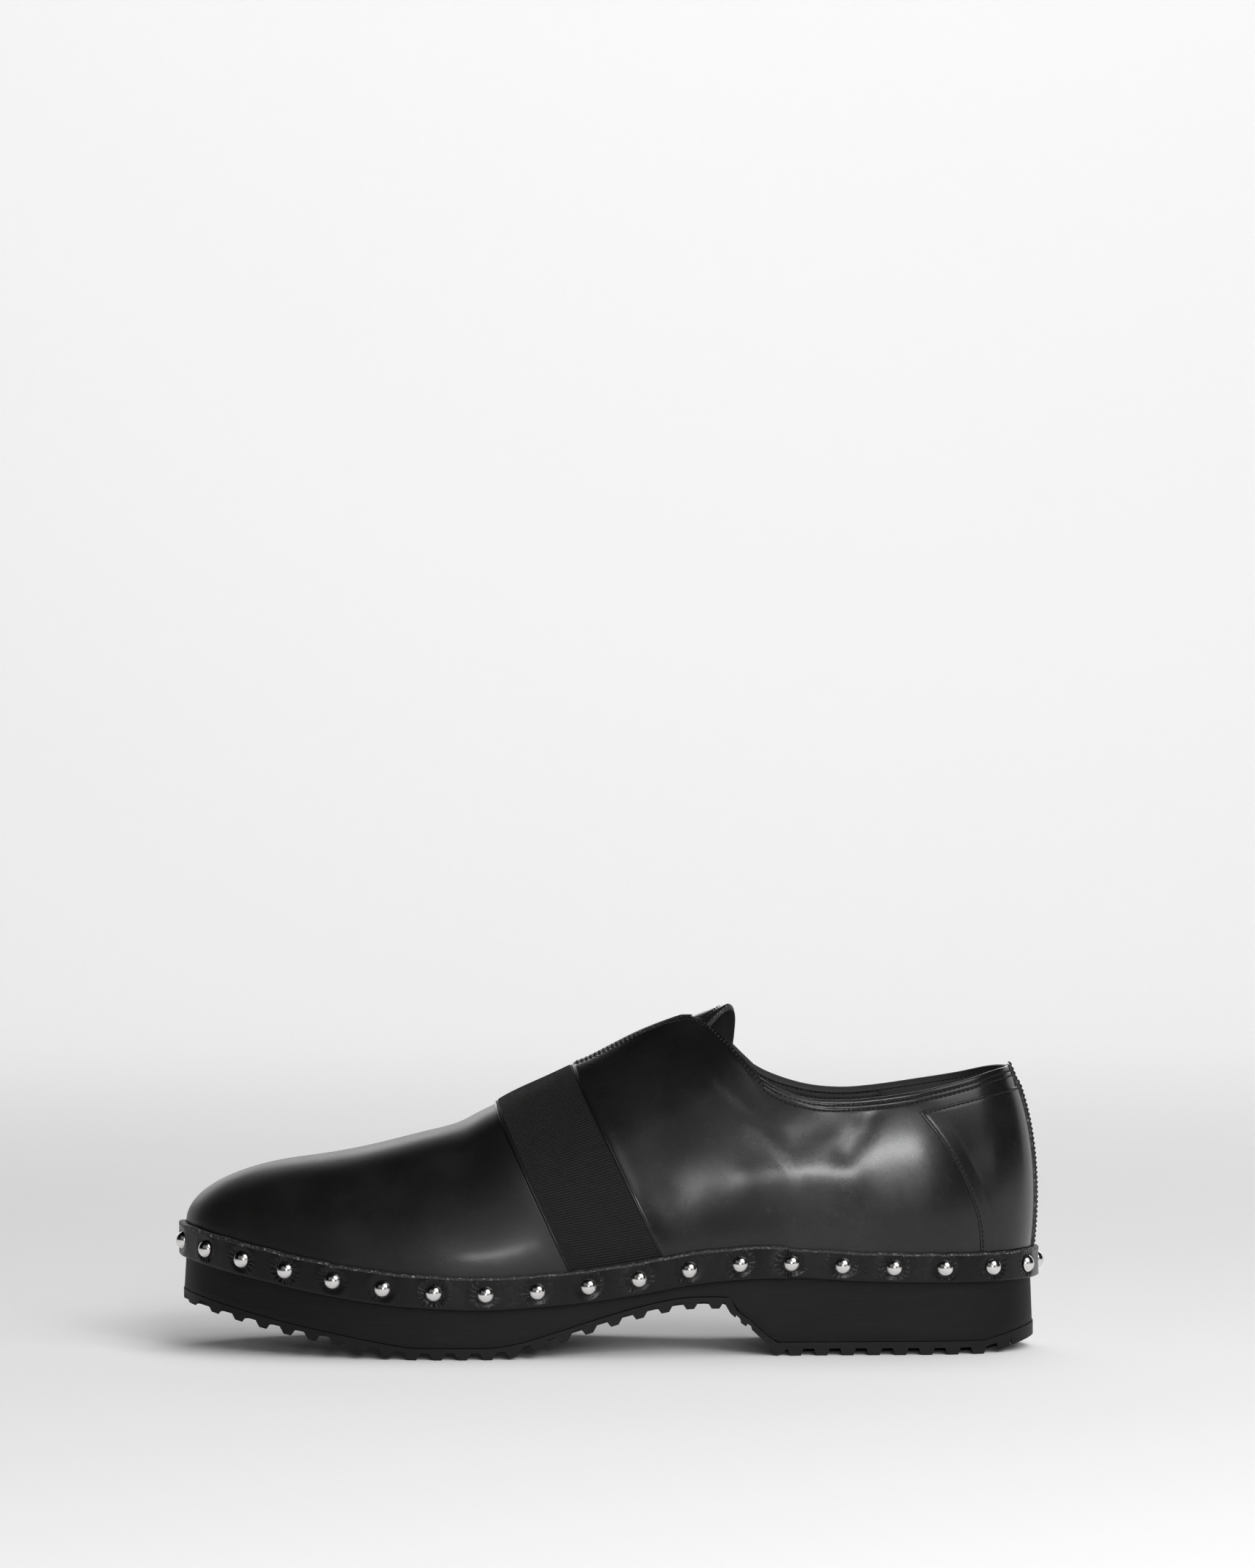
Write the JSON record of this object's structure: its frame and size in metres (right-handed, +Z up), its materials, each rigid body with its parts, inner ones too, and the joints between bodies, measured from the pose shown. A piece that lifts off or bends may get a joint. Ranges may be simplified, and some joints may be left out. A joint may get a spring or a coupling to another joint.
{
  "type": "laceless derby shoe",
  "caption": "Black leather laceless derby for the left foot, with an elastic band over the instep, a studded rand and a lugged platform sole.",
  "frame": {"origin": "on the floor under the middle of the shoe's outer box", "axes": "+X toward the toe, +Y to the outside of the left foot, +Z up"},
  "size_m": [0.3042, 0.111, 0.1198],
  "materials": {
    "outsole_rubber": "matte moulded",
    "midsole_rubber": "matte cellular",
    "lining_leather": "matte lining",
    "upper_leather": "polished smooth calf",
    "rand_leather": "glossy",
    "elastic": "ribbed elastic",
    "stud_metal": "polished"
  },
  "bodies": {
    "root": {"outsole": "outsole_rubber", "midsole": "midsole_rubber", "insole": "lining_leather", "upper": "upper_leather", "elastic_gore": "elastic", "tongue": "upper_leather", "heel_counter": "upper_leather", "back_strip": "upper_leather", "rand_front": "rand_leather", "rand_heel": "rand_leather", "stud_01": "stud_metal", "stud_02": "stud_metal", "stud_03": "stud_metal", "stud_04": "stud_metal", "stud_05": "stud_metal", "stud_06": "stud_metal", "stud_07": "stud_metal", "stud_08": "stud_metal", "stud_09": "stud_metal", "stud_10": "stud_metal", "stud_11": "stud_metal", "stud_12": "stud_metal", "stud_13": "stud_metal", "stud_14": "stud_metal", "stud_15": "stud_metal", "stud_16": "stud_metal", "stud_17": "stud_metal", "stud_18": "stud_metal", "stud_19": "stud_metal", "stud_20": "stud_metal", "stud_21": "stud_metal", "stud_22": "stud_metal", "stud_23": "stud_metal", "stud_24": "stud_metal", "stud_25": "stud_metal", "stud_26": "stud_metal", "stud_27": "stud_metal", "stud_28": "stud_metal", "stud_29": "stud_metal", "stud_30": "stud_metal", "stud_31": "stud_metal", "stud_32": "stud_metal", "stud_33": "stud_metal", "stud_34": "stud_metal", "stud_35": "stud_metal", "stud_36": "stud_metal", "stud_37": "stud_metal", "stud_38": "stud_metal", "stud_39": "stud_metal"}
  },
  "joints": []
}
